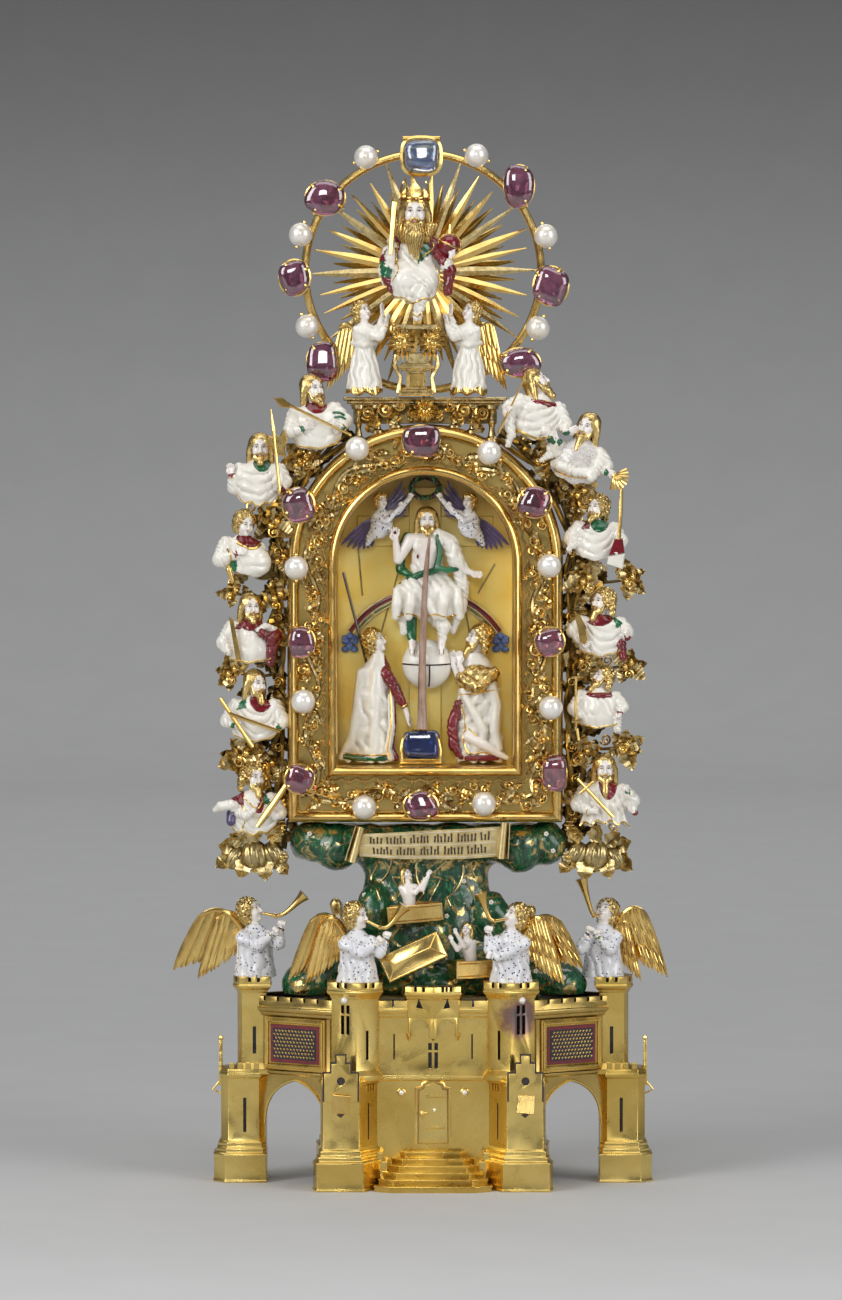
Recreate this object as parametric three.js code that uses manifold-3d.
// A gold and enamel table reliquary: a castle foot, a green mound with rising figures, an arched and jewelled
// case behind a crystal, apostles on vine branches at its sides, and a sunburst with a seated figure on top.
// Millimetres, +Z up, the front faces -Y. The origin is the middle of the footprint, on the table.
import * as THREE from "three";
import { SimplifyModifier } from "three/addons/modifiers/SimplifyModifier.js";
import { mergeVertices } from "three/addons/utils/BufferGeometryUtils.js";
import Module from "manifold-3d";

const wasm = await Module();
wasm.setup();

// ---- Driving dimensions ----
const GAP = 0.3; // room between pieces that rest on or in each other
const CASE_X = -2.3; // the upper part leans this far to the left of the castle's middle
const TOWER_TOP = 60; // the turrets' floors, where the trumpeting angels stand
const DECK_TOP = 52; // the castle's roof, which carries the mound
const CASE_FLOOR = 105.5; // underside of the arched case
const ARCH_Z = 181; // centre of the case's round arches
const CASE_R = 39.8; // outer arch, and half the case's width
const CASE_FRONT = -13;
const CASE_BACK = 10;
const CHANNEL_Y = -8; // floor of the foliage channel in the case's face
const RIM_WIDTH = 3;
const WINDOW_R = 25.3; // the opening of the scene behind the crystal
const WINDOW_FLOOR = 122;
const BEZEL_R = 28.2;
const BACKDROP_Y = 6.5; // the gold wall behind the scene
const GALLERY_TOP = 229.2;
const SUN = { x: -2.9, z: 265.8, ring: 34.5, wire: 1.1, disc: 8 };
const PEARL_R = 3.6;
const SLIVER_SHARES = [0.4, 0.34, 0.27, 0.2, 0.1]; // of a joined solid's corners, what may lie along seams only

// ---- Materials ----
const metal = (color, roughness) => new THREE.MeshStandardMaterial({ color, roughness, metalness: 1 });
const glaze = (color, roughness = 0.25) => new THREE.MeshStandardMaterial({ color, roughness, metalness: 0 });
const GOLD = metal(0xd6a53a, 0.3);
const OLD_GOLD = metal(0xa97f2c, 0.42);
const WHITE = glaze(0xf2efe8);
const GREEN = glaze(0x0f5a34);
const RUBY = glaze(0x8c1f45, 0.08);
const SAPPHIRE = glaze(0x2a53c4, 0.06);
const PLAQUE = glaze(0x5a1d2c, 0.3);
const THORN = glaze(0x8a6f55, 0.7);
const RAINBOW = glaze(0x7a1f28, 0.3);
const CRYSTAL = new THREE.MeshStandardMaterial({ color: 0xffffff, roughness: 0.03, transparent: true, opacity: 0.2 });

// ---- Solids ----
const V = (x, y, z) => new THREE.Vector3(x, y, z);
const rad = THREE.MathUtils.degToRad;
const range = (n) => Array.from({ length: n }, (_, i) => i);

function toSolid(geometry) {
  const bare = new THREE.BufferGeometry().setAttribute("position", geometry.getAttribute("position"));
  if (geometry.index) bare.setIndex(geometry.index);
  const merged = mergeVertices(bare, 1e-4);
  const index = merged.index.array;
  const kept = [];
  for (let i = 0; i < index.length; i += 3) {
    const [a, b, c] = [index[i], index[i + 1], index[i + 2]];
    if (a !== b && b !== c && c !== a) kept.push(a, b, c);
  }
  const mesh = new wasm.Mesh({
    numProp: 3,
    vertProperties: merged.attributes.position.array,
    triVerts: new Uint32Array(kept),
  });
  return new wasm.Manifold(mesh);
}

function toGeometry(solid) {
  const mesh = solid.getMesh();
  return new THREE.BufferGeometry()
    .setAttribute("position", new THREE.BufferAttribute(new Float32Array(mesh.vertProperties), 3))
    .setIndex(new THREE.BufferAttribute(new Uint32Array(mesh.triVerts), 1));
}

const fuse = (...solids) => solids.flat().reduce((sum, next) => sum.add(next));
const less = (solid, cutters) => cutters.reduce((left, cut) => left.subtract(cut), solid);

// Same-sized closed rings of points, joined into one body with flat ends.
function loft(rings) {
  const n = rings[0].length;
  const last = (rings.length - 1) * n;
  const index = [];
  for (let r = 0; r < rings.length - 1; r++)
    for (let i = 0; i < n; i++) {
      const [a, b] = [r * n + i, r * n + ((i + 1) % n)];
      index.push(a, b, b + n, a, b + n, a + n);
    }
  for (let i = 1; i < n - 1; i++) index.push(0, i + 1, i, last, last + i, last + i + 1);
  const geometry = new THREE.BufferGeometry().setFromPoints(rings.flat()).setIndex(index);
  const made = toSolid(geometry);
  if (made.volume() > 0) return made;
  for (let i = 0; i < index.length; i += 3) [index[i + 1], index[i + 2]] = [index[i + 2], index[i + 1]];
  return toSolid(geometry.setIndex(index));
}

// A limb, stem, horn or rod along a line of points. flat squeezes it from front to back.
function tube(points, radii, sides = 5, flat = 1) {
  const path = points.map((p) => V(...p));
  const span = path.at(-1).clone().sub(path[0]).normalize();
  const side = Math.abs(span.y) < 0.9 ? V(0, 1, 0) : V(0, 0, 1);
  const rings = path.map((p, i) => {
    const t = path[Math.min(i + 1, path.length - 1)].clone().sub(path[Math.max(i - 1, 0)]).normalize();
    const u = side.clone().addScaledVector(t, -side.dot(t)).normalize();
    const v = t.clone().cross(u);
    return range(sides).map((k) => {
      const a = ((k + 0.5) * 2 * Math.PI) / sides;
      return p.clone().addScaledVector(u, flat * radii[i] * Math.cos(a)).addScaledVector(v, radii[i] * Math.sin(a));
    });
  });
  return loft(rings);
}

// A robe, mound or trunk: oval rings [z, half width, half depth, x, y], with flutes that fade towards the top.
function robe(rings, sides = 8, flute = 0) {
  const top = rings.at(-1)[0];
  return loft(
    rings.map(([z, rx, ry, x = 0, y = 0]) => {
      const depth = flute * (1 - z / top);
      return range(sides).map((i) => {
        const a = (i * 2 * Math.PI) / sides;
        const k = 1 + depth * (i % 2 ? -1 : 1);
        return V(x + rx * k * Math.cos(a), y + ry * k * Math.sin(a), z);
      });
    }),
  );
}

function ball([rx, ry, rz], [x, y, z], wide = 6, high = 4) {
  const g = new THREE.SphereGeometry(1, wide, high).rotateX(Math.PI / 2);
  return toSolid(g.scale(rx, ry, rz).translate(x, y, z));
}

function box([x0, y0, z0], [x1, y1, z1]) {
  const g = new THREE.BoxGeometry(x1 - x0, y1 - y0, z1 - z0);
  return toSolid(g.translate((x0 + x1) / 2, (y0 + y1) / 2, (z0 + z1) / 2));
}

const outline = (points) => new THREE.Shape(points.map(([x, y]) => new THREE.Vector2(x, y)));
const extrude = (shape, depth, curveSegments = 8) =>
  new THREE.ExtrudeGeometry(shape, { depth, bevelEnabled: false, curveSegments });

// A plan outline in X and Y, raised from z0 to z1.
const prism = (points, z0, z1) => toSolid(extrude(outline(points), z1 - z0).translate(0, 0, z0));

// A front outline in X and Z, running back from y0 to y1.
const slab = (shape, y0, y1, curveSegments = 8) =>
  toSolid(extrude(shape, y1 - y0, curveSegments).rotateX(Math.PI / 2).translate(0, y1, 0));

const turned = (solid, x = 0, y = 0, z = 0) => solid.rotate([x, y, z]);
const moved = (solid, x, y, z) => solid.translate([x, y, z]);
const bothSides = (solid) => [solid, solid.mirror([1, 0, 0])];
const mirrorPlan = (points) => points.map(([x, y]) => [x, -y]).reverse();

// ---- The model ----
const reliquary = new THREE.Group();

function piece(name, solid, material, { at = [0, 0, 0], turn = 0, lean = 0 } = {}) {
  const mesh = new THREE.Mesh(toGeometry(solid), material);
  mesh.name = name;
  mesh.position.set(...at);
  mesh.rotation.set(0, rad(lean), rad(turn), "YXZ");
  reliquary.add(mesh);
  mesh.updateMatrixWorld();
  return mesh;
}

// ---- Castle ----
const GATE_Y = -20; // front of the gate wall
const OUTER_TOWER = [[50.8, -7], [59.8, -7], [62, -4.5], [62, 4.5], [59.8, 7], [50.8, 7]];
const OUTER_TURRET = [[48.7, -5.5], [55.8, -5.5], [57.2, -2.5], [57.2, 2.5], [55.8, 5.5], [48.7, 5.5]];
const INNER_TOWER = [[16, -14], [16, -19.6], [21.3, -29], [31.8, -29], [32.6, -24.5], [31.6, -14]];
const INNER_TURRET = [[15.8, -16], [15.8, -22.4], [22.2, -27], [29.4, -22.4], [29.4, -16], [22, -12.5]];
const CORE = [[-31, -18], [-16, GATE_Y], [16, GATE_Y], [31, -18], [31, 18], [16, -GATE_Y], [-16, -GATE_Y], [-31, 18]];
const WING = [[30, -19], [52.5, -3.4], [52.5, 3.4], [30, 19]];
const WALK = [[10, -17.6], [30.5, -17.6], [48.3, -4.9], [48.3, 4.9], [30.5, 17.6], [10, 17.6]]; // between the parapets
const STAGE_TOP = 33; // top of the towers' lower stage

// A plan outline made larger all round, measured from its own middle.
function wider(points, by) {
  const [cx, cy] = [0, 1].map((k) => points.reduce((s, p) => s + p[k], 0) / points.length);
  return points.map(([x, y]) => {
    const d = Math.hypot(x - cx, y - cy);
    return [x + ((x - cx) / d) * by, y + ((y - cy) / d) * by];
  });
}

const middle = (points, k) => (Math.min(...points.map((p) => p[k])) + Math.max(...points.map((p) => p[k]))) / 2;

// Notches cut across a parapet leave merlons along its edge.
function crenels(points, low = 1.6) {
  const [cx, cy] = [middle(points, 0), middle(points, 1)];
  return [-2.7, 2.7].map((d) => box([cx + d - 0.5, cy - 20, TOWER_TOP - low], [cx + d + 0.5, cy + 20, TOWER_TOP + 1]));
}

// A plan outline lofted through levels of [z, widening].
const stack = (points, levels) => loft(levels.map(([z, by]) => wider(points, by).map(([x, y]) => V(x, y, z))));

function tower(lower, upper, notched = true) {
  const turret = stack(upper, [[STAGE_TOP - 1, 0], [56, 0], [56, 1.4], [TOWER_TOP, 1.4]]);
  return fuse(
    stack(lower, [[0, 2.2], [8, 2.2], [10.3, 0], [STAGE_TOP, 0]]),
    notched ? less(turret, crenels(upper)) : turret,
  );
}

// The stepped gable plate of a tower's lower stage, with its round hole, in X and Z about its own middle.
function gable() {
  const steps = [[5.5, 28], [5.5, 34.5], [3.9, 34.5], [3.9, 36.4], [1.9, 36.4], [1.9, 39.6]];
  const shape = outline([...steps, ...steps.map(([x, z]) => [-x, z]).reverse()]);
  shape.holes.push(new THREE.Path().absarc(0, 32, 1.2, 0, 2 * Math.PI, true));
  return slab(shape, 0, 1, 3);
}

const slit = (x, y, z0, z1, half = 0.5) => box([x - half, y - 1, z0], [x + half, y + 1, z1]);

function pointedArch(half, spring, apex, below = -1) {
  const shape = new THREE.Shape();
  shape.moveTo(-half, below);
  shape.lineTo(half, below);
  shape.lineTo(half, spring);
  shape.quadraticCurveTo(half, spring + (apex - spring) * 0.8, 0, apex);
  shape.quadraticCurveTo(-half, spring + (apex - spring) * 0.8, -half, spring);
  return shape;
}

const WALL_TURN = Math.atan2(13.5, 19.5); // the front wing walls run back towards the outer towers
const onWingWall = (solid, side) =>
  moved(turned(solid, 0, 0, (side * WALL_TURN * 180) / Math.PI), side * 39.9, -12.35, 0);

function castle() {
  const tunnel = slab(pointedArch(8.6, 17, 30), -40, 40, 3);
  const wing = fuse(prism(WING, 0, 50), prism(wider(WING, 1), 49.6, DECK_TOP)).subtract(moved(tunnel, 40.2, 0, 0));
  const notches = range(3).map((i) => box([35.5 + 4.4 * i, -30, 53], [36.2 + 4.4 * i, 30, 56]));
  const parapet = less(prism(wider(WING, 1), 51.5, 54.5), [prism(WALK, DECK_TOP, 60), ...notches]);
  const frame = box([-10.3, -0.9, 33.6], [10.3, 1, 48]).subtract(box([-9.1, -3, 35], [9.1, -0.2, 46.8]));
  const sideGable = moved(turned(gable(), 0, 0, 90), 61.8, 0, 0);
  const half = fuse(
    tower(INNER_TOWER, INNER_TURRET),
    tower(OUTER_TOWER, OUTER_TURRET),
    moved(gable(), 26.75, -29.4, 0),
    sideGable,
    onWingWall(frame, 1),
  );
  const backTower = tower(mirrorPlan(INNER_TOWER), mirrorPlan(INNER_TURRET), false);
  const gate = fuse(
    prism(CORE, 0, DECK_TOP),
    box([-16.4, GATE_Y - 0.6, 30.4], [16.4, GATE_Y + 2, 31.4]),
    box([-16, GATE_Y - 0.9, 50], [16, GATE_Y + 1, 53.4]),
    box([-4.1, GATE_Y - 0.5, 10], [4.1, GATE_Y + 1, 28]),
    prism([[-8.6, -19], [-7.6, -22.4], [0, -25], [7.6, -22.4], [8.6, -19]], 49, 58.5),
  );
  const corbels = prism([[-8, -19], [-7, -21.8], [0, -24.2], [7, -21.8], [8, -19]], 44, 49.5);
  const openings = [-1, 1].map((s) => moved(slab(pointedArch(2.9, 46.5, 49.4, 43), -26, GATE_Y - 0.4, 3), 4 * s, 0, 0));
  const steps = loft(
    range(12).map((k) => {
      const i = Math.floor(k / 2);
      const [front, side, y, z] = [10.7 - 0.95 * i, 15.5 - 1.6 * i, -33.8 + 2.3 * i, 1.75 * (i + (k % 2))];
      const half = [[front, y], [side, y + 3.2], [side, GATE_Y + 1]];
      return [...half.map(([x, d]) => V(-x, d, z)).reverse(), ...half.map(([x, d]) => V(x, d, z))];
    }),
  );
  const windows = [
    slit(0.9, GATE_Y, 37, 43.5), slit(-0.9, GATE_Y, 37, 43.5), slit(9.6, GATE_Y, 37, 44.6), slit(-9.6, GATE_Y, 37, 44.6),
    ...bothSides(slit(52.2, -5.5, 38, 46)), ...bothSides(slit(54.3, -7, 15.5, 26.5)),
    ...bothSides(moved(turned(slit(0, 0, 43.5, 52.5, 1.3), 0, 0, 32), 25.9, -24.7, 0)),
    ...bothSides(moved(turned(slit(0, 0, 36.5, 45), 0, 0, -36), 19, -24.7, 0)),
  ];
  const corePieces = [gate, corbels.subtract(fuse(openings)), steps, bothSides(fuse(wing, parapet)), bothSides(half)];
  const whole = fuse(...corePieces, bothSides(backTower));
  return less(whole, windows);
}

piece("castle", castle(), GOLD);
for (const [side, name] of [[-1, "plaque_left"], [1, "plaque_right"]]) {
  const enamel = box([-9.1 + GAP, -0.8, 35 + GAP], [9.1 - GAP, -0.2 - GAP, 46.8 - GAP]);
  piece(name, onWingWall(enamel, side), PLAQUE);
}

// ---- Figures ----
// The rings of a head with its hair, about the neck's top at [x, y, z]. look turns it to the right, tip lifts the
// chin, tilt drops an ear, and the beard is a wedge below the chin.
function headRings({ size = 1, hair = "long", look = 0, tip = 0, tilt = 0 }, [, , , x = 0, y = 0], z) {
  const fall = hair === "long" ? 0.7 : 0;
  const profile = [[1.4, 2.4 + fall, 2.4, 0.2], [3.8, 3.5, 3.6, 0.1], [6.2, 3, 3.2, 0.4], [7.4, 1.2, 1.3, 0.6]];
  return profile.map(([h, rx, ry, back]) => {
    const lean = back + (h - 3.4) * Math.sin(rad(tip));
    const [dx, dy] = [-lean * Math.sin(rad(look)), lean * Math.cos(rad(look))];
    return [z + h * size, rx * size, ry * size, x + dx * size + h * Math.sin(rad(tilt)), y + dy * size];
  });
}

function beardOf({ size = 1, beard = 0, look = 0, tip = 0 }, [, , , x = 0, y = 0], z) {
  const out = [Math.sin(rad(look)), -Math.cos(rad(look))];
  const at = (reach, h) => [x + out[0] * reach * size, y + out[1] * reach * size, z + (h + reach * Math.sin(rad(tip))) * size];
  return beard ? [tube([at(2.1, 2), at(3.2, -1 - beard)], [2 * size, 0.6 * size], 4, 0.7)] : [];
}

// A sleeve with its hand, from the shoulder over the elbow and the wrist to the fingertips.
function arm(shoulder, elbow, wrist, tip, thick = 1) {
  return tube([shoulder, elbow, wrist, tip], [2.1, 2.1, 1.3, 0.8].map((r) => r * thick), 4);
}

const rod = (a, b, r = 0.55, end = r) => tube([a, b], [r, end], 4);

// A whole figure: the body's rings run on into the head, with arms and what the hands hold.
function figure(body, { face, arms, extras = [] }) {
  const neck = body.at(-1);
  const rings = [...body, ...headRings(face, neck, neck[0])];
  return fuse(robe(rings, 8, 0.1), beardOf(face, neck, neck[0]), ...arms.map((a) => arm(...a)), ...extras.map((make) => make()));
}

const BUST = [[0, 5, 3.2], [4, 7.6, 4.2], [11.4, 7.2, 3.8], [14.4, 2.1, 2]];
const L_SHOULDER = [-5.6, -0.4, 11.6];
const R_SHOULDER = [5.6, -0.4, 11.6];
const restArm = (side, up = 0) => [[side * 5.6, -0.4, 11.6], [side * 7.6, -1.2, 6.6], [side * 4.6, -4.2, 5.2 + up], [side * 2, -4.9, 6.2 + up]];

const APOSTLES = {
  apostle_left_1: {
    at: [-33.2, -8, 214.4], turn: 12, lean: -8,
    face: { hair: "long", beard: 0.6, look: 22 },
    arms: [[L_SHOULDER, [-7.4, -2, 7], [-5.6, -4.4, 5], [-3.2, -4.8, 8]], restArm(1)],
    extras: [() => rod([-9, -5.4, 14], [7, -5.4, 3], 0.5), () => tube([[-7, -5.4, 12.6], [-9, -5.4, 14], [-11, -5.4, 15.4]], [0.7, 1.3, 0.3], 4)],
  },
  apostle_left_2: {
    at: [-50.4, -8, 197.2],
    face: { hair: "long", beard: 0.6 },
    arms: [[L_SHOULDER, [-7.4, -1.4, 5.6], [-8, -3.4, 8.6], [-8.4, -3.8, 13]], [R_SHOULDER, [7.4, -1.4, 7], [6.4, -4, 4.6], [5, -4.8, 7]]],
    extras: [() => rod([6, -5.2, 5], [4.4, -5.2, 28.5], 0.6, 0.4), () => slabAt([[4, 18], [8, 15], [8.6, 21], [5, 23]], -5.7, -4.7)],
  },
  apostle_left_3: {
    at: [-56, -8, 175], turn: 14,
    face: { hair: "short", look: 10, tilt: 6 },
    arms: [[L_SHOULDER, [-7.6, -1.6, 6.4], [-4, -4.4, 7.4], [-0.8, -4.8, 9]], [R_SHOULDER, [7.2, -1.4, 7], [6, -4, 4.6], [3.4, -4.8, 5.2]]],
    extras: [() => ball([5, 1.7, 4.4], [3.2, -4.2, 5.6])],
  },
  apostle_left_4: {
    at: [-53.6, -8, 150.6],
    face: { hair: "long", beard: 0.4, look: 16 },
    arms: [restArm(-1), [R_SHOULDER, [7.8, -1.4, 8], [6.4, -3.6, 7], [4.4, -4.4, 9.4]]],
    extras: [() => slabAt([[-5.8, 14.6], [-4.6, 13.6], [-2.2, 1], [-3.6, 1]], -5.4, -4.6)],
  },
  apostle_left_5: {
    at: [-51.4, -8, 128.4],
    face: { hair: "long", beard: 1, look: 34 },
    arms: [restArm(-1, 0.6), restArm(1, -0.6)],
    extras: [() => rod([-10, -5.6, 13.6], [-1, -5.6, -1], 0.6), () => rod([-7.4, -5.2, 8.6], [7, -5.2, 3.6], 0.6)],
  },
  apostle_left_6: {
    at: [-53.4, -8, 101.4],
    face: { hair: "short", beard: 0.8, look: 30 },
    arms: [[L_SHOULDER, [-8.4, -2, 8], [-7, -3.6, 12], [-10, -4, 12]], restArm(1, -1)],
    extras: [() => rod([1.4, -5.4, 3], [10.6, -5.4, 16], 1.1, 0.9)],
  },
  apostle_right_1: {
    at: [28.6, -8, 215.6], turn: 10, lean: 12,
    face: { hair: "long", beard: 1, look: 50, tip: 40 },
    arms: [[L_SHOULDER, [-8, -1.6, 8], [-9, -3.6, 4.6], [-8.6, -4.2, 8]], [R_SHOULDER, [7.8, -1.4, 7], [8.6, -3.6, 5], [10, -4, 7]]],
    extras: [() => rod([-10.6, -4.8, 0], [-6.4, -4.8, 17.6], 0.6)],
  },
  apostle_right_2: {
    at: [41, -8, 203.4], turn: -10, lean: 10,
    face: { hair: "long", beard: 2.4, look: -16, tilt: 6 },
    arms: [[L_SHOULDER, [-7.6, -2, 9], [-5.6, -4.2, 12.4], [-6.8, -4.4, 15]], [R_SHOULDER, [8, -1.4, 8], [8.6, -3, 5.4], [10.4, -3.6, 4]]],
    extras: [() => slabAt([[8.6, 6.4], [13.6, 5], [14, 1], [10, 0.6]], -5, -3.8)],
  },
  apostle_right_3: {
    at: [47.4, -8, 179.2], turn: -8,
    face: { hair: "short", beard: 0.8, look: -28, tilt: 10 },
    arms: [[L_SHOULDER, [-7.6, -1.4, 8], [-7, -3.6, 5], [-9, -4, 4.6]], [R_SHOULDER, [7.8, -1.4, 6.6], [7, -3.8, 4], [6.4, -4.6, 6.6]]],
    extras: [() => tube([[6, -5, 1], [7, -5, 6], [7.6, -5, 12], [8.4, -5, 26.4]], [2, 1.4, 0.7, 0.5], 4)],
  },
  apostle_right_4: {
    at: [48.6, -8, 152.4], turn: -6,
    face: { hair: "long", beard: 1, look: -42, tilt: 6 },
    arms: [[L_SHOULDER, [-8, -1.8, 8], [-7, -3.8, 5.4], [-4.4, -4.6, 5]], [R_SHOULDER, [7.8, -1.4, 7], [7.8, -3.6, 7], [9, -4.2, 8.6]]],
    extras: [() => slabAt([[-8, 14.6], [-5.4, 12.6], [-3.8, 8.4], [-4.4, 4.6], [-6.4, 9], [-8.6, 12]], -5.2, -4.2)],
  },
  apostle_right_5: {
    at: [48, -8, 129.4], turn: -6,
    face: { hair: "long", beard: 1.2, look: -46, tip: 16 },
    arms: [[L_SHOULDER, [-7.8, -1.4, 7.4], [-6.6, -3.8, 5], [-6.6, -4.6, 7]], [R_SHOULDER, [8, -1.4, 7], [7.4, -3.6, 5.4], [7.4, -4.4, 2.4]]],
    extras: [() => rod([-7.4, -4.6, 0], [-7.4, -4.6, 17.6], 0.7)],
  },
  apostle_right_6: {
    at: [49.6, -8, 103.6],
    face: { hair: "short", beard: 2 },
    arms: [restArm(-1, 0.4), [R_SHOULDER, [8.8, -1.8, 7.4], [7, -3.8, 10.6], [5.4, -4.4, 13]]],
    extras: [() => rod([0.6, -4.9, 4.6], [-8.4, -4.9, 14.2], 0.7), () => rod([-7.4, -4.9, 10.2], [-3.8, -4.9, 13.4], 0.6)],
  },
};

// A flat thing held in the hand, such as a blade or a shell, drawn in X and Z.
function slabAt(points, y0, y1) {
  return slab(outline(points), y0, y1, 1);
}

for (const [name, { at, turn, lean, ...form }] of Object.entries(APOSTLES)) {
  piece(name, figure(BUST, form), WHITE, { at, turn, lean });
}

// ---- Winged figures ----
// A wing drawn in X and Z from its root at the origin, with a scalloped trailing edge.
function wing(reach, rise, drop, thick = 0.9) {
  const shape = new THREE.Shape();
  shape.moveTo(0, -1.5);
  shape.quadraticCurveTo(reach * 0.3, rise * 1.5, reach * 0.62, rise * 0.7);
  shape.lineTo(reach, -drop);
  shape.lineTo(reach * 0.66, -drop * 0.74);
  shape.lineTo(reach * 0.3, -drop * 0.42);
  shape.lineTo(0, -4);
  return slab(shape, -thick / 2, thick / 2, 3);
}

const ANGEL = [[0, 6.2, 5], [5.4, 5, 4.2], [12, 5, 3.4], [14.6, 1.8, 1.7]];

function trumpeter({ horn, wings, ...form }) {
  const placed = wings.map(([angle, at, ...size]) => moved(turned(wing(...size), 0, 0, angle), ...at));
  return fuse(figure(ANGEL, form), tube(horn, [0.45, 0.7, 1.9], 5), placed);
}

const ANGELS = {
  angel_left_outer: {
    at: [-52.6, -1, TOWER_TOP + GAP],
    face: { look: 62, tip: 22 },
    arms: [[[4, -2.6, 11.4], [7, -3, 9.4], [7.6, -3.2, 13.6], [8.6, -2.8, 17]], [[-3.6, -2.6, 11], [1, -5, 9], [5, -4.4, 12], [8, -3.8, 15.6]]],
    horn: [[2.4, -2.6, 18.4], [8, -3.2, 17.8], [14.6, -3.6, 23.6]],
    wings: [[188, [-3, 3, 13], 20, 6.4, 12], [200, [-2.6, 4.4, 12.6], 14, 6, 14]],
  },
  angel_left_inner: {
    at: [-22.4, -20.5, TOWER_TOP + GAP],
    face: { look: 60, tip: 6 },
    arms: [[[4, -2.6, 11.4], [6.4, -3, 8.6], [8.4, -3.2, 12], [9.4, -2.8, 15.6]], [[-3.6, -2.6, 11], [1, -5, 8.6], [5.4, -4.4, 11], [8.6, -3.8, 14.4]]],
    horn: [[2.8, -2.6, 17.6], [8.4, -3.2, 15.8], [13.8, -3.6, 22]],
    wings: [[186, [-3, 3, 13], 16, 6.6, 13], [205, [-2.6, 4.4, 12.6], 13, 6, 14]],
  },
  angel_right_inner: {
    at: [23, -20.5, TOWER_TOP + GAP],
    face: { look: -50, tip: 24 },
    arms: [[[-4, -2.6, 11.4], [-6, -3, 9.4], [-6.6, -3.2, 13.6], [-6, -3.4, 17]], [[3.6, -2.6, 11], [-1, -5, 8.6], [-4.6, -4.4, 7], [-7.6, -3.8, 8]]],
    horn: [[-1.8, -2.8, 18], [-6, -3.4, 18.2], [-8.8, -3.8, 25.6]],
    wings: [[-6, [3, 3, 13], 17, 6, 10], [-25, [2.6, 4.4, 12.6], 13, 6, 14]],
  },
  angel_right_outer: {
    at: [50.4, -1, TOWER_TOP + GAP],
    face: { look: -30, tip: 30 },
    arms: [[[-4, -2.6, 11.4], [-6.6, -3, 8], [-4.6, -3.8, 12], [-3, -3.6, 16]], [[3.6, -2.6, 11], [2, -5, 8], [-1.6, -5, 11], [-2.4, -4, 15.6]]],
    horn: [[-1.4, -2.6, 17.6], [-3.4, -3.8, 18.6], [-6.4, -4.2, 28.4]],
    wings: [[-10, [3, 3, 13], 15, 7, 14], [-30, [2.6, 4.4, 11], 9, 5, 13]],
  },
};
for (const [name, { at, ...form }] of Object.entries(ANGELS)) piece(name, trumpeter(form), WHITE, { at });

// ---- Tombs ----
const TOMB = { half: 7, deep: 3.4, high: 5, wall: 0.9 };

// An open gold coffer with a bare half figure standing up in it.
function tomb({ half = TOMB.half, figure = 1, bend = 0, reach = 1 }) {
  const { deep, high, wall } = TOMB;
  const coffer = box([-half, -deep, 0], [half, deep, high]).subtract(box([-half + wall, -deep + wall, wall], [half - wall, deep - wall, high + 1]));
  const torso = tube([[0, 0, 0.5], [0, 0, 5], [bend, -0.3, 9.6], [bend * 1.2, -0.3, 12]], [1.9, 1.6, 2.3, 1], 5, 0.75);
  const arms = [-1, 1].map((s) =>
    tube([[bend + s * 1.4, -0.6, 9.8], [bend + reach * 3 + s, -2, 9], [bend + reach * 6.4, -2, 13.6 + s]], [1, 0.9, 0.5], 3),
  );
  const skull = ball([1.8, 1.9, 2.3], [bend * 1.3, -0.3, 13.8], 5, 4);
  return fuse(coffer, moved(fuse(torso, ...arms, skull), figure * 2, 0, 0));
}

const TOMBS = {
  tomb_upper: { at: [-5, -11.4, 76.6], lean: -5, half: 8, figure: -0.7, reach: 1, bend: 0 },
  tomb_lower: { at: [11, -14.6, 60.6], turn: 24, half: 6, figure: 0, reach: -1, bend: -1 },
  tomb_left: { at: [-27.5, 1.5, 66.4], turn: 80, half: 6, figure: 0, reach: 1 },
  tomb_right: { at: [27.5, 2.5, 64.4], turn: -80, half: 6, figure: 0, reach: -1 },
};
const takenByTombs = [];
for (const [name, { at, turn, lean, ...form }] of Object.entries(TOMBS)) {
  const mesh = piece(name, tomb(form), GOLD, { at, turn, lean });
  const half = form.half + GAP;
  const room = box([-half, -TOMB.deep - GAP, -GAP], [half, TOMB.deep + GAP, 17]);
  takenByTombs.push(room.transform(mesh.matrixWorld.elements));
}

// The hipped lid that the lower figure has pushed off, leaning on the slope.
const LID = { at: [-5.8, -20.6, 67.2], half: [9.3, 4], thick: 2, ridge: 1.8 };
function tombLid() {
  const [hx, hz] = LID.half;
  const ring = (kx, kz, y) => [[-kx, -kz], [kx, -kz], [kx, kz], [-kx, kz]].map(([x, z]) => V(x, y, z));
  return loft([ring(hx, hz, LID.thick), ring(hx, hz, 0.4), ring(hx - 3.6, 0.25, -LID.ridge)]);
}
piece("tomb_lid", turned(turned(tombLid(), -14), 0, -24.6), GOLD, { at: LID.at });

// ---- Mound ----
// Oval rings up the green hill, over a foot that fits inside the castle's parapets, to a shelf under the case.
const MOUND = [
  [55, 44.5, 9.5, 0], [60, 43, 9.5, 0], [65, 31, 10.5, -0.5], [74, 25, 11, -1.2],
  [88, 20.4, 8.8, -2], [92, 21.4, 8.8, -2], [96, 37, 9, -2], [100, 40, 8.8, -2], [CASE_FLOOR - GAP, 38.6, 8.2, -2],
];
const MOUND_FOOT = [[46.4, 5], [31.4, 15.4], [31.4, 10.6], [14, 10.6], [14, 18], [-14, 18], [-14, 10.6], [-31.4, 10.6], [-31.4, 15.4], [-46.4, 5]];

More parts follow.
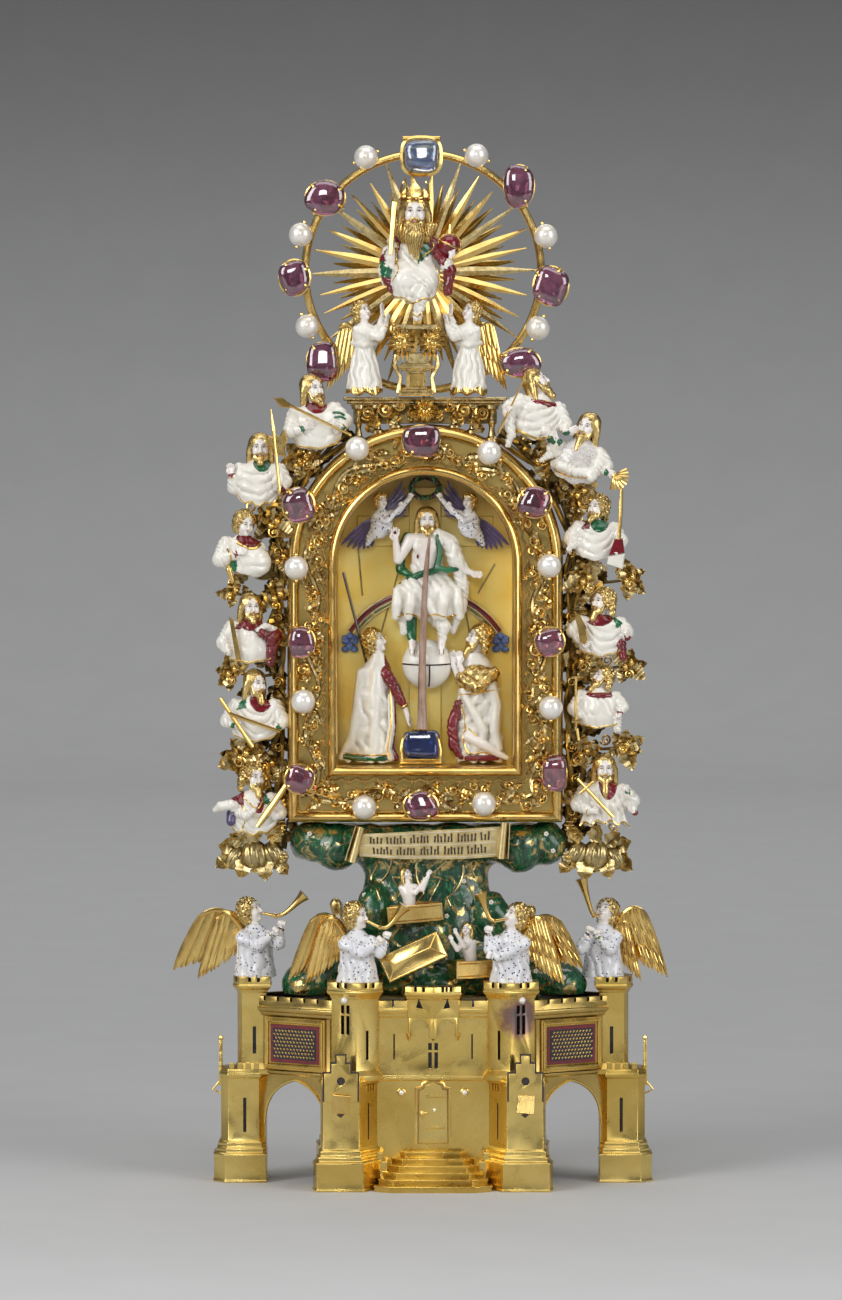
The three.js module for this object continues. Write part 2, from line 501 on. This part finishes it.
function mound() {
  const sides = 14;
  const rings = MOUND.map(([z, rx, ry, cx], r) =>
    range(sides).map((i) => {
      const a = (i * 2 * Math.PI) / sides;
      const flat = r === 0 || r === MOUND.length - 1;
      const lump = flat ? 1 : 1 + 0.05 * Math.sin(5 * a + 1.7 * r) + 0.03 * Math.sin(3 * a - 2.3 * r);
      return V(cx + rx * lump * Math.cos(a), ry * lump * Math.sin(a) + 1, z);
    }),
  );
  const foot = prism([...MOUND_FOOT, ...mirrorPlan(MOUND_FOOT)], DECK_TOP + GAP, 55.5);
  return less(fuse(foot, loft(rings)), takenByTombs);
}
piece("mound", mound(), GREEN);

// ---- Scroll ----
function scroll() {
  const [half, wave, thick, low, high] = [21, 0.7, 0.9, 94.6, 104.2];
  const front = range(9).map((i) => [-half + (2 * half * i) / 8, wave * Math.cos((i * Math.PI) / 2)]);
  const back = front.map(([x, y]) => [x, y + thick]).reverse();
  const roll = (x, lean) => moved(turned(tube([[0, 0, -5.6], [0, 0, 5.4]], [1.7, 1.4], 6), 0, lean), x, 0.4, (low + high) / 2 + 0.3);
  return fuse(prism([...front, ...back], low, high), roll(-half - 0.6, 12), roll(half + 0.6, 8));
}
piece("scroll", scroll(), GOLD, { at: [-1, -13.4, 0] });

// ---- Arched case ----
// A round-headed outline about the case's middle.
function archShape(r, floor, hole) {
  const trace = (path, [radius, low]) => {
    path.moveTo(-radius, low);
    path.lineTo(radius, low);
    path.lineTo(radius, ARCH_Z);
    path.absarc(0, ARCH_Z, radius, 0, Math.PI, false);
    path.lineTo(-radius, low);
    return path;
  };
  const shape = trace(new THREE.Shape(), [r, floor]);
  if (hole) shape.holes.push(trace(new THREE.Path(), hole));
  return shape;
}

const CASE_PEARLS = [
  [-19.7, 214.2], [18.6, 213], [-37.4, 179.6], [36, 180.2], [-35.4, 140.8], [36.5, 139], [-17.7, 110], [17.1, 111],
];

function shrineCase() {
  const arc = 9;
  const body = slab(archShape(CASE_R, CASE_FLOOR, [WINDOW_R, WINDOW_FLOOR]), CHANNEL_Y, CASE_BACK - 1, arc);
  const back = slab(archShape(CASE_R, CASE_FLOOR), BACKDROP_Y, CASE_BACK, arc);
  const rim = slab(archShape(CASE_R, CASE_FLOOR, [CASE_R - RIM_WIDTH, CASE_FLOOR + RIM_WIDTH]), CASE_FRONT, CHANNEL_Y + 1, arc);
  const pearls = CASE_PEARLS.map(([x, z]) => ball([PEARL_R, PEARL_R, PEARL_R], [x, CASE_FRONT - 0.6, z], 6, 4));
  return fuse(body, back, rim, pearls);
}
piece("shrine_case", shrineCase(), GOLD, { at: [CASE_X, 0, 0] });

const bezel = slab(archShape(BEZEL_R, WINDOW_FLOOR - 3, [WINDOW_R + 0.2, WINDOW_FLOOR - 0.2]), CASE_FRONT + 0.4, CHANNEL_Y - GAP, 9);
piece("crystal_bezel", bezel, GOLD, { at: [CASE_X, 0, 0] });
const pane = slab(archShape(WINDOW_R - GAP, WINDOW_FLOOR + GAP), CHANNEL_Y + 0.3, CHANNEL_Y + 1.3, 9);
piece("crystal_window", pane, CRYSTAL, { at: [CASE_X, 0, 0] });

// ---- The scene behind the crystal ----
const STAGE_Z = WINDOW_FLOOR + GAP;

function rainbow() {
  const [r, width, half] = [27.5, 3.4, 24.6];
  const shape = new THREE.Shape();
  const from = Math.asin(half / (r + 2));
  shape.absarc(0, 0, r, Math.PI / 2 - from, Math.PI / 2 + from, false);
  shape.absarc(0, 0, r - width, Math.PI / 2 + from, Math.PI / 2 - from, true);
  return moved(slab(shape, BACKDROP_Y - 1.4, BACKDROP_Y - GAP, 9), 0, 0, 146);
}
piece("rainbow", rainbow(), RAINBOW, { at: [CASE_X, 0, 0] });

// A seated figure on z = 0: feet, knees forward, and an upright trunk.
const SEATED = [[0, 5.4, 3.4, 0, -2], [7, 7.6, 4.2, 0, -2], [12.6, 8.6, 4.6, 0, -1.4], [15.4, 6.6, 4, 0, 0.2], [23, 6.8, 3.4, 0, 0.6], [26.6, 2.1, 2, 0, 0.4]];
const raised = (rings, by, tall, deep) =>
  rings.map(([z, rx, ry, x, y]) => [z * tall + by, rx, ry * deep, x, y * deep]);

function christ() {
  const globe = { r: 7.2, z: 151.4 - STAGE_Z };
  const seat = globe.z + 5.8;
  const form = {
    face: { hair: "long", beard: 0.4, size: 1.05 },
    arms: [
      [[-5.8, -0.6, 64], [-8.4, -1.4, 58], [-8.8, -2.4, 64], [-9, -2.6, 71], 0.9],
      [[5.8, -0.6, 64], [9.4, -0.8, 58.4], [11.6, -1.6, 56], [14.4, -2, 55.4], 0.9],
    ],
    extras: [() => ball([globe.r, 4, globe.r], [-0.4, 0, globe.z], 8, 5)],
  };
  return figure(raised(SEATED, seat, 1.24, 0.6), form);
}
piece("christ_enthroned", christ(), WHITE, { at: [-1.6, 0.5, STAGE_Z] });

const KNEELING = [[0, 7.6, 4, 0], [4, 7.2, 4, 0], [12, 5.6, 3.8, -0.8], [29, 4.6, 3, 0.8], [32.4, 1.8, 1.7, 1.2]];
const mirrored = (rings) => rings.map(([z, rx, ry, x = 0, ...rest]) => [z, rx, ry, -x, ...rest]);
const virgin = figure(KNEELING, {
  face: { hair: "long", look: 76, tip: 10 },
  arms: [
    [[4, -2, 26], [7, -3, 20], [9.4, -3, 15.4], [10.6, -3, 10.6], 0.9],
    [[3, -2.4, 27], [6.4, -3.4, 27.4], [7, -3, 31], [7, -2.4, 34.6], 0.7],
  ],
});
piece("virgin_kneeling", virgin, WHITE, { at: [-18.2, 0.4, STAGE_Z] });

const baptist = figure(mirrored(KNEELING), {
  face: { hair: "long", beard: 1.6, look: -70, tip: 8, size: 1.15 },
  arms: [
    [[-4, -2, 26], [-7.4, -3, 23], [-6.8, -3, 29], [-6, -3, 34.6], 0.9],
    [[-3, -2.4, 27], [-5.6, -3.4, 19], [-8, -3.4, 13], [-9.4, -3.2, 8], 0.8],
  ],
});
piece("baptist_kneeling", baptist, WHITE, { at: [13.8, 0.4, STAGE_Z] });

// Two small angels under the arch, holding the crown between them, with wings along the curve.
function crownAngels() {
  const one = fuse(
    robe([[0, 3, 2.4], [4, 3.4, 2.6], [6.6, 1.2, 1.2], [8.4, 2, 2.1], [10.8, 1.1, 1.2]], 5),
    tube([[1.6, -0.6, 5.4], [4.6, -1.4, 6], [9.8, -1.4, 12.4]], [1.2, 1, 0.6], 3),
    tube([[-1.6, 1, 4], [-4.6, 1.6, 0], [-8.6, 2, -8]], [1.4, 1.6, 0.3], 4, 0.4),
    tube([[-1, 1.4, 4], [2.4, 1.8, 8], [10.6, 2, 12]], [1, 1.2, 0.6], 4, 0.4),
  );
  const crown = toSolid(new THREE.TorusGeometry(4.2, 1.15, 4, 8)).scale([1, 0.6, 1]);
  return fuse(bothSides(moved(one, -12.8, 0, 189.6)), moved(turned(crown, 20), 0, -0.4, 202.8));
}
piece("crown_angels", crownAngels(), WHITE, { at: [CASE_X, 1.4, 0] });

piece("thorn_sapphire", fuse(robe([[0, 5.4, 3.2], [2, 5.9, 3.6], [8, 5.9, 3.6], [9.8, 4.8, 2.8]], 8)), SAPPHIRE, { at: [-3.6, -2.8, STAGE_Z] });
const thorn = tube([[0, 0, 0], [-0.2, -0.4, 20], [0.2, -0.4, 40], [2, -0.3, 56]], [1.4, 1.1, 0.9, 0.3], 6);
piece("thorn", thorn, THORN, { at: [-3, -4.7, STAGE_Z + 9.8 + GAP] });

// ---- Vine branches that carry the apostles ----
// An oak leaf, lying in the front plane and pointing along its angle from +X.
function leaf([x, y, z, angle, size]) {
  const lobes = [[0, -0.6], [0, 0.6], [3, 3], [5.4, 2.9], [8, 0], [5.4, -2.9], [3, -3]];
  const shape = outline(lobes.map(([a, b]) => [a * size, b * size]));
  return moved(turned(slab(shape, -0.5, 0.5, 1), 0, -angle), x, y, z);
}

// [x, y, z, angle, size] of the leaves that grow from a stem or a stalk's end.
const LEAVES = {
  left: [
    [-43, 2, 197, 120, 1], [-45.5, 2, 155, 100, 0.9], [-45, 2, 180, 160, 0.9], [-45.5, 2, 131, 110, 0.9],
    [-44.6, 2, 98, 200, 1], [-45.4, 2, 97, 250, 1.1],
  ],
  right: [
    [31.2, 2, 207, 60, 0.9], [41.6, 2, 155, 80, 0.9], [40, 2, 184, 40, 1], [41, 2, 131, 70, 0.9],
    [41, 2, 98, -20, 1], [41.8, 2, 97, 290, 1.1],
  ],
};

// A branch beside the case: a stem that follows its edge, a stalk behind each apostle, and leaves.
function vine(side) {
  const name = side < 0 ? "left" : "right";
  const out = (z, more) => [CASE_X + side * (CASE_R + more), 2, z];
  const bend = (a) => [CASE_X + side * (CASE_R + 2.2) * Math.cos(a), 2, ARCH_Z + (CASE_R + 2.2) * Math.sin(a)];
  const path = [out(97, 3), out(122, 2.4), out(150, 3), ...[0, 0.35, 0.7, 0.98].map(bend)];
  const seats = Object.entries(APOSTLES).filter(([key]) => key.includes(name));
  const stalks = seats.map(([, { at: [x, , z] }]) => {
    const near = path.reduce((best, p) => (Math.abs(p[2] - z) < Math.abs(best[2] - z) ? p : best));
    return tube([near, [x, -2.2, z + 4], [x + side * 8, 0, z + 3]], [1.3, 1.2, 0.8], 4);
  });
  const tips = seats.map(([, { at: [x, , z] }], i) => leaf([x + side * 7, 0.2, z + 3, side < 0 ? 170 + 20 * (i % 3) : 10 - 20 * (i % 3), 0.8]));
  return fuse(tube(path, path.map(() => 1.3), 5), stalks, tips, LEAVES[name].map(leaf));
}
const shelfTaken = box([CASE_X - 43.3, -12, 90], [CASE_X + 42.3, 14, CASE_FLOOR]);
piece("vine_left", vine(-1).subtract(shelfTaken), OLD_GOLD);
piece("vine_right", vine(1).subtract(shelfTaken), OLD_GOLD);

// ---- Gallery, throne and sunburst ----
function gallery() {
  const [foot, half] = [206, 21];
  const holes = [-17.6, -9.4, 9.4, 17.6].map((x) => slab(new THREE.Shape().absarc(x, GALLERY_TOP - 4.6, 2.4, 0, 2 * Math.PI, false), -9, 9, 3));
  const arch = slab(new THREE.Shape().absarc(0, ARCH_Z, CASE_R + GAP, 0, 2 * Math.PI, false), -20, 20, 22);
  const mask = ball([3.6, 2.6, 3.6], [0, -4.4, GALLERY_TOP - 4.4], 6, 4);
  const wall = box([-half, -4, foot], [half, 4, GALLERY_TOP - 1]);
  return less(fuse(wall, box([-24, -5, GALLERY_TOP - 1.6], [24, 5, GALLERY_TOP]), mask), [...holes, arch]);
}
piece("gallery", gallery(), OLD_GOLD, { at: [CASE_X, 2, 0] });

const THRONE_TOP = 250.6;
function throne() {
  const column = fuse(box([-4.6, -4, 0], [4.6, 4, 13]), box([-5.4, -4.8, 7.6], [5.4, 4.6, 9]), box([-5.4, -4.8, 0], [5.4, 4.6, 1.2]));
  const lions = [-1, 1].map((s) => ball([3.6, 3.4, 3.6], [s * 4.8, -3.4, 15.6], 6, 4));
  return fuse(column, lions, box([-6.4, -3.4, 12.4], [6.4, 4, THRONE_TOP - GALLERY_TOP - GAP]));
}
piece("throne", throne(), OLD_GOLD, { at: [-4.9, -4.6, GALLERY_TOP + GAP] });

const godFather = () =>
  figure(SEATED, {
    face: { hair: "long", beard: 3.4, size: 1.1 },
    arms: [
      [[-5.8, 0, 22.6], [-9.4, -0.8, 16], [-8, -2.6, 21], [-7.6, -3, 26]],
      [[5.8, 0, 22.6], [10, -0.8, 15], [12.6, -2.6, 16], [12.4, -3.4, 19.4]],
    ],
    extras: [
      () => tube([[0, 0.4, 33], [0, 0.4, 36.4], [0, 0.4, 41]], [3.2, 3.3, 0.8], 6),
      () => ball([3.9, 3.9, 3.9], [12, -2, 21.4], 7, 5),
      () => rod([-7.6, -3.4, 22], [-6.4, -3.4, 35], 0.7, 0.5),
    ],
  });
piece("god_the_father", godFather(), WHITE, { at: [-6, -7, THRONE_TOP + GAP] });

const SLENDER = [[0, 5.2, 4.6], [10, 4.4, 3.8], [15, 3, 2.8], [19, 4, 2.8], [21, 1.6, 1.5]];
function bearer(side) {
  const wingPath = [[-side * 1, 0.4, 17], [-side * 8, -1, 21], [-side * 8.6, -1.2, 12], [-side * 2.4, -1, 0.6]];
  return figure(SLENDER, {
    face: { hair: "short", look: side * 40, tip: 18, size: 0.95 },
    arms: [
      [[side * 2.6, -1, 18.6], [side * 5, -2, 19], [side * 5.6, -2, 23], [side * 5, -2, 27.4], 0.7],
      [[side * 2, -2, 18], [side * 5.6, -3, 16.6], [side * 6.8, -2.4, 20], [side * 7.4, -2, 23], 0.7],
    ],
    extras: [() => tube(wingPath, [1.4, 2.2, 3, 0.4], 5, 0.35)],
  });
}
piece("bearer_left", bearer(1), WHITE, { at: [-20, -4, GALLERY_TOP + GAP] });
piece("bearer_right", bearer(-1), WHITE, { at: [10.4, -4, GALLERY_TOP + GAP] });

const RING_PEARLS = [[-16.4, 298.7], [15.7, 299.9], [-37, 277.1], [35.4, 276.2], [-34.8, 249.6], [34.4, 249.1]];

function sunburst() {
  const { ring, wire, disc } = SUN;
  const reach = (i) => [ring, 25, 29, 25][i % 4];
  const spot = (r, a) => [r * Math.cos(a), r * Math.sin(a)];
  const star = range(32).flatMap((i) => [spot(reach(i), (i * Math.PI) / 16), spot(disc, ((i + 0.5) * Math.PI) / 16)]);
  const rim = toSolid(new THREE.TorusGeometry(ring, wire, 4, 28).rotateX(Math.PI / 2));
  const pearls = RING_PEARLS.map(([x, z]) => {
    const d = Math.hypot(x, z - SUN.z) / (ring + 2.9);
    return ball([PEARL_R, PEARL_R, PEARL_R], [x / d, -0.6, (z - SUN.z) / d], 6, 4);
  });
  return fuse(rim, slab(outline(star), -0.7, 0.7, 1), pearls);
}
piece("sunburst", sunburst(), GOLD, { at: [SUN.x, 2.6, SUN.z] });
piece("top_sapphire", robe([[-5.2, 3.6, 2], [-4, 5.4, 3], [4, 5.4, 3], [5.2, 3.6, 2]], 8), SAPPHIRE, { at: [-3.4, -2.2, 299.5] });

// ---- Rubies ----
// [x, z, half width, half height] on the case's rim and on the sunburst's ring.
const CASE_RUBIES = [
  [-3.5, 216.4, 5.8, 5.2], [-39, 197.6, 5.3, 5.5], [29.4, 198.4, 5.2, 5.3], [-38, 158.1, 4.5, 4.6],
  [33.9, 158.4, 5, 4.6], [-38.8, 118.5, 4.4, 5.1], [35.2, 120.2, 3.9, 5.6], [-3.5, 110.4, 5.3, 4.8],
];
const RING_RUBIES = [[-31.5, 287, 6.4, 5.8], [25.1, 290.6, 5.5, 6.4], [-40.4, 264.2, 5, 6.2], [34.4, 261.9, 5.8, 6.4], [-32.4, 239.6, 5, 6.2], [25.4, 239.2, 6, 5.2]];

// A polished pebble, a little irregular, drawn as an uneven ball.
function pebble([halfX, halfZ], depth, seed) {
  const g = new THREE.SphereGeometry(1, 6, 4).rotateX(Math.PI / 2);
  const p = mergeVertices(new THREE.BufferGeometry().setAttribute("position", g.attributes.position).setIndex(g.index), 1e-4);
  const at = p.attributes.position;
  for (let i = 0; i < at.count; i++) {
    const v = V(at.getX(i), at.getY(i), at.getZ(i));
    const k = 1 + 0.07 * Math.sin(3.1 * v.x + 2.3 * seed) + 0.05 * Math.cos(4.3 * v.z + seed);
    at.setXYZ(i, (v.x * halfX * k) / 1.07, v.y * depth, (v.z * halfZ * k) / 1.07);
  }
  return toSolid(p);
}
CASE_RUBIES.forEach(([x, z, hx, hz], i) => piece(`ruby_case_${i + 1}`, pebble([hx, hz], 2.6, i), RUBY, { at: [x, CASE_FRONT - 2.6 - GAP, z] }));
RING_RUBIES.forEach(([x, z, hx, hz], i) => piece(`ruby_ring_${i + 1}`, pebble([hx, hz], 2.5, i + 8), RUBY, { at: [x, -1.3, z] }));

// Joins leave slivers along every seam. They are merged away, except where a neighbour fits closely.
const FITTED = ["castle", "plaque_left", "plaque_right", "mound", "shrine_case", "crystal_bezel", "crystal_window", "rainbow", "gallery"];
const simplifier = new SimplifyModifier();

// True where no two sheets of a surface have folded onto one edge.
function unfolded(geometry) {
  const index = mergeVertices(geometry, 1e-4).index.array;
  const edges = new Set();
  for (let i = 0; i < index.length; i++) edges.add(`${index[i]} ${index[i % 3 === 2 ? i - 2 : i + 1]}`);
  return edges.size === index.length;
}

async function withoutSlivers(geometry) {
  const whole = toSolid(geometry).volume();
  for (const share of SLIVER_SHARES) {
    const light = toSolid(await simplifier.modify(geometry, Math.round(geometry.attributes.position.count * share)));
    const main = light.decompose().reduce((big, body) => (body.volume() > big.volume() ? body : big));
    if (main.volume() > 0.985 * whole && unfolded(toGeometry(main))) return toGeometry(main);
  }
  return geometry;
}
for (const mesh of reliquary.children) {
  const small = mesh.geometry.index.count < 3 * 150;
  if (!small && !FITTED.includes(mesh.name)) mesh.geometry = await withoutSlivers(mesh.geometry);
}

// The origin is the middle of the whole model's footprint.
const bounds = new THREE.Box3().setFromObject(reliquary, true);
const centre = bounds.getCenter(new THREE.Vector3());
reliquary.position.set(-centre.x, -centre.y, -bounds.min.z);

export default reliquary;
